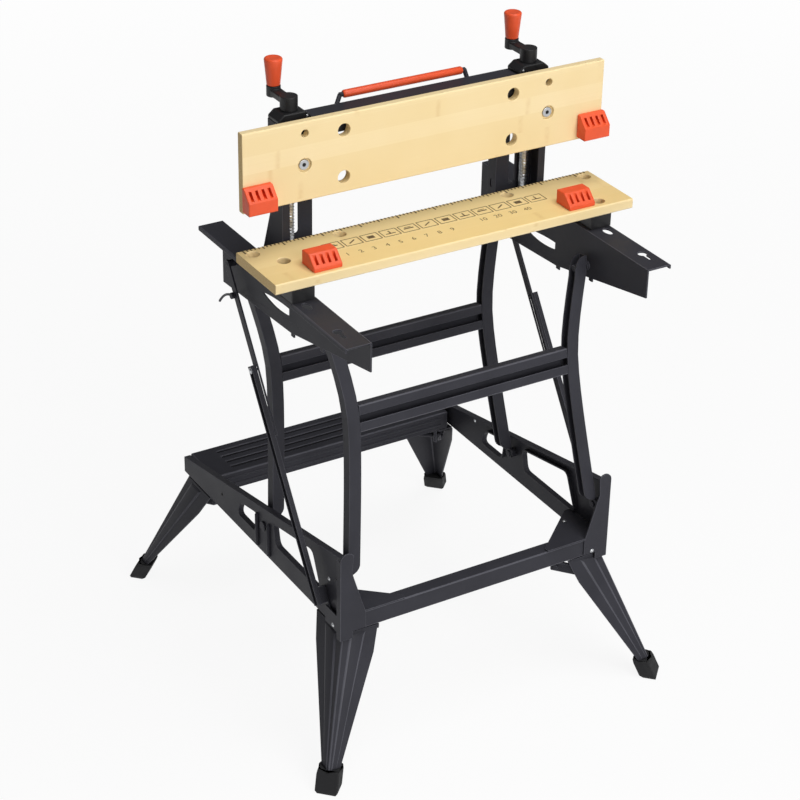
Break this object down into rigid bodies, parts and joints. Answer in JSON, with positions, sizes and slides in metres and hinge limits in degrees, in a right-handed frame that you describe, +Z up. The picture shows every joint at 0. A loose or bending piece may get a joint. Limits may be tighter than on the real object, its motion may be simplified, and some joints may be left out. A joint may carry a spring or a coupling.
{
  "type": "folding workbench",
  "caption": "Dual-height folding workbench with a tilting screw vise, bamboo jaws, fold-in legs and a step, on a steel frame that folds flat.",
  "frame": {"origin": "on the floor, midway between the four feet", "axes": "+X along the jaws, +Y from the fixed jaw towards the step, +Z up"},
  "size_m": [0.6444, 0.7134, 1.0413],
  "materials": {
    "painted_steel": "satin charcoal powder coat",
    "plated_steel": "zinc plated",
    "bamboo": "clear satin lacquer over laminated bamboo",
    "orange_plastic": "moulded, light sheen",
    "black_plastic": "moulded, fine texture",
    "rubber": "matte"
  },
  "bodies": {
    "base": {"side_rail_left": "painted_steel", "side_rail_right": "painted_steel", "corner_bracket_left": "painted_steel", "corner_bracket_right": "painted_steel", "step_plate": "painted_steel", "front_cross_rail": "painted_steel", "leg_hinge_front_left": "painted_steel", "leg_hinge_front_right": "painted_steel", "leg_hinge_rear_left": "painted_steel", "leg_hinge_rear_right": "painted_steel", "pivot_pin_front_left": "painted_steel", "pivot_pin_front_right": "painted_steel", "pivot_pin_rear_left": "painted_steel", "pivot_pin_rear_right": "painted_steel"},
    "front_left_leg": {"leg_front_left": "painted_steel", "foot_front_left": "rubber"},
    "front_right_leg": {"leg_front_right": "painted_steel", "foot_front_right": "rubber"},
    "rear_left_leg": {"leg_rear_left": "painted_steel", "foot_rear_left": "rubber"},
    "rear_right_leg": {"leg_rear_right": "painted_steel", "foot_rear_right": "rubber"},
    "front_frame": {"upright_front_left": "painted_steel", "upright_front_right": "painted_steel", "frame_rail_front": "painted_steel"},
    "rear_frame": {"upright_rear_left": "painted_steel", "upright_rear_right": "painted_steel", "frame_rail_rear": "painted_steel"},
    "top": {"support_beam_left": "painted_steel", "support_beam_right": "painted_steel", "jaw_support_left": "black_plastic", "jaw_support_right": "black_plastic", "fixed_jaw": "bamboo"},
    "lower_strut_left": {"strut_lower_left": "painted_steel"},
    "upper_strut_left": {"strut_upper_left": "painted_steel"},
    "release_lever_left": {"strut_release_left": "painted_steel"},
    "lower_strut_right": {"strut_lower_right": "painted_steel"},
    "upper_strut_right": {"strut_upper_right": "painted_steel"},
    "release_lever_right": {"strut_release_right": "painted_steel"},
    "vise": {"vise_post_left": "painted_steel", "vise_post_right": "painted_steel", "screw_bearing_left": "black_plastic", "screw_bearing_right": "black_plastic", "vise_top_bar": "painted_steel"},
    "carry_handle": {"carry_handle_bail": "painted_steel", "carry_handle_grip": "orange_plastic"},
    "jaw_carriage": {"moving_jaw": "bamboo", "jaw_slider_left": "plated_steel", "jaw_slider_right": "plated_steel"},
    "left_crank": {"crank_left": "black_plastic", "vise_screw_left": "plated_steel"},
    "left_knob": {"crank_knob_left": "orange_plastic"},
    "fixed_peg_left": {"peg_fixed_left": "orange_plastic"},
    "moving_peg_left": {"peg_moving_left": "orange_plastic"},
    "right_crank": {"crank_right": "black_plastic", "vise_screw_right": "plated_steel"},
    "right_knob": {"crank_knob_right": "orange_plastic"},
    "fixed_peg_right": {"peg_fixed_right": "orange_plastic"},
    "moving_peg_right": {"peg_moving_right": "orange_plastic"}
  },
  "joints": [
    {"name": "fold", "type": "hinge", "parent": "base", "child": "front_frame", "pos_m": [0, -0.252, 0.305], "axis": [-1, 0, 0], "range_deg": [0, 72]},
    {"name": "rear_frame_fold", "type": "hinge", "parent": "base", "child": "rear_frame", "pos_m": [0, -0.012, 0.273], "axis": [-1, 0, 0], "range_deg": [0, 72]},
    {"name": "top_level", "type": "hinge", "parent": "front_frame", "child": "top", "pos_m": [0, -0.1836, 0.693], "axis": [-1, 0, 0], "range_deg": [-72, 0]},
    {"name": "strut_lower_left_swing", "type": "hinge", "parent": "base", "child": "lower_strut_left", "pos_m": [0, -0.231, 0.24], "axis": [-1, 0, 0], "range_deg": [0, 45.47]},
    {"name": "strut_upper_left_swing", "type": "hinge", "parent": "top", "child": "upper_strut_left", "pos_m": [0, 0.073, 0.697], "axis": [-1, 0, 0], "range_deg": [0, 45.47]},
    {"name": "release_left_tip", "type": "hinge", "parent": "upper_strut_left", "child": "release_lever_left", "pos_m": [0, 0.051, 0.654], "axis": [1, 0, 0], "range_deg": [0, 25]},
    {"name": "strut_lower_right_swing", "type": "hinge", "parent": "base", "child": "lower_strut_right", "pos_m": [0, -0.231, 0.24], "axis": [-1, 0, 0], "range_deg": [0, 45.47]},
    {"name": "strut_upper_right_swing", "type": "hinge", "parent": "top", "child": "upper_strut_right", "pos_m": [0, 0.073, 0.697], "axis": [-1, 0, 0], "range_deg": [0, 45.47]},
    {"name": "release_right_tip", "type": "hinge", "parent": "upper_strut_right", "child": "release_lever_right", "pos_m": [0, 0.051, 0.654], "axis": [1, 0, 0], "range_deg": [0, 25]},
    {"name": "front_left_leg_fold", "type": "hinge", "parent": "base", "child": "front_left_leg", "pos_m": [-0.193, -0.2195, 0.2], "axis": [0.766, -0.6428, 0], "range_deg": [0, 122]},
    {"name": "front_right_leg_fold", "type": "hinge", "parent": "base", "child": "front_right_leg", "pos_m": [0.193, -0.2195, 0.2], "axis": [0.766, 0.6428, 0], "range_deg": [0, 122]},
    {"name": "rear_left_leg_fold", "type": "hinge", "parent": "base", "child": "rear_left_leg", "pos_m": [-0.193, 0.2195, 0.2], "axis": [-0.766, -0.6428, 0], "range_deg": [0, 122]},
    {"name": "rear_right_leg_fold", "type": "hinge", "parent": "base", "child": "rear_right_leg", "pos_m": [0.193, 0.2195, 0.2], "axis": [-0.766, 0.6428, 0], "range_deg": [0, 122]},
    {"name": "vise_tilt", "type": "hinge", "parent": "top", "child": "vise", "pos_m": [0, 0.002, 0.6914], "axis": [-1, 0, 0], "range_deg": [0, 90]},
    {"name": "handle_swing", "type": "hinge", "parent": "vise", "child": "carry_handle", "pos_m": [0, -0.018, 0.95], "axis": [-1, 0, 0], "range_deg": [0, 105]},
    {"name": "jaw_slide", "type": "slide", "parent": "vise", "child": "jaw_carriage", "axis": [0, 0, 1], "range_m": [-0.04, 0.003]},
    {"name": "left_crank_turn", "type": "hinge", "parent": "vise", "child": "left_crank", "pos_m": [-0.203, -0.043, 0.99], "axis": [0, 0, 1], "range_deg": [-1441, 109]},
    {"name": "left_knob_spin", "type": "hinge", "parent": "left_crank", "child": "left_knob", "pos_m": [-0.203, 0.003, 1.02], "axis": [0, 0, 1], "continuous": true},
    {"name": "fixed_peg_left_turn", "type": "hinge", "parent": "top", "child": "fixed_peg_left", "pos_m": [-0.217, -0.166, 0.79], "axis": [0, 0, 1], "continuous": true},
    {"name": "moving_peg_left_turn", "type": "hinge", "parent": "jaw_carriage", "child": "moving_peg_left", "pos_m": [-0.284, -0.0966, 0.882], "axis": [0, 1, 0], "continuous": true},
    {"name": "right_crank_turn", "type": "hinge", "parent": "vise", "child": "right_crank", "pos_m": [0.203, -0.043, 0.99], "axis": [0, 0, 1], "range_deg": [-1441, 109]},
    {"name": "right_knob_spin", "type": "hinge", "parent": "right_crank", "child": "right_knob", "pos_m": [0.203, 0.003, 1.02], "axis": [0, 0, 1], "continuous": true},
    {"name": "fixed_peg_right_turn", "type": "hinge", "parent": "top", "child": "fixed_peg_right", "pos_m": [0.217, -0.166, 0.79], "axis": [0, 0, 1], "continuous": true},
    {"name": "moving_peg_right_turn", "type": "hinge", "parent": "jaw_carriage", "child": "moving_peg_right", "pos_m": [0.284, -0.0966, 0.882], "axis": [0, 1, 0], "continuous": true}
  ],
  "couplings": [
    {"joint": "rear_frame_fold", "follows": "fold", "ratio": 1},
    {"joint": "top_level", "follows": "fold", "ratio": -1},
    {"joint": "strut_lower_left_swing", "follows": "fold", "ratio": 0.6308},
    {"joint": "strut_upper_left_swing", "follows": "fold", "ratio": 0.6308},
    {"joint": "strut_lower_right_swing", "follows": "fold", "ratio": 0.6308},
    {"joint": "strut_upper_right_swing", "follows": "fold", "ratio": 0.6308},
    {"joint": "left_crank_turn", "follows": "jaw_slide", "rad_per_m": 628.32},
    {"joint": "right_crank_turn", "follows": "jaw_slide", "rad_per_m": 628.32}
  ]
}
